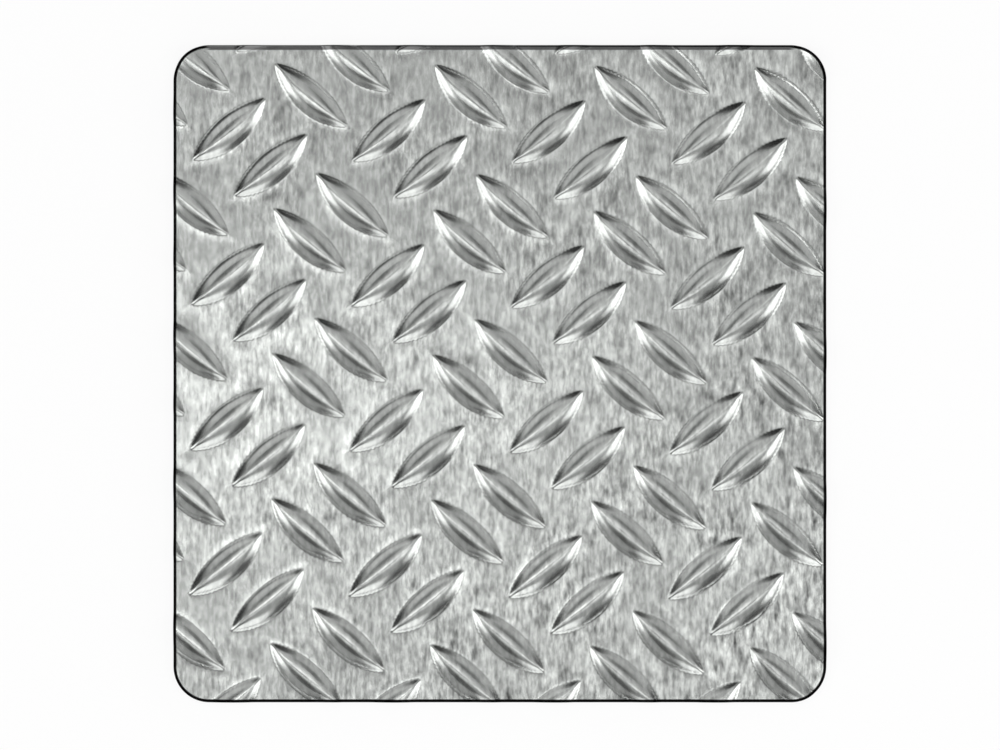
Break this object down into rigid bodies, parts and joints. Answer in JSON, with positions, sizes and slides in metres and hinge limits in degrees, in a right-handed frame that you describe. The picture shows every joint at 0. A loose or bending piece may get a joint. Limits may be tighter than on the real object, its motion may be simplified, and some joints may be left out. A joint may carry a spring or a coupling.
{
  "type": "embossed aluminium tread sheet",
  "caption": "Flat square sheet with rounded corners, a raised lens-bar tread pattern on one face and a plain back.",
  "frame": {"origin": "centre of the plain back, on the surface the sheet lies on", "axes": "+X across the sheet, +Y along it and along the rolling grain, +Z out of the embossed face"},
  "size_m": [0.18, 0.1812, 0.0039],
  "materials": {
    "sheet": "mill finish with fine rolling grain along Y, darkened cut edge"
  },
  "bodies": {
    "root": {"embossed_sheet": "sheet"}
  },
  "joints": []
}
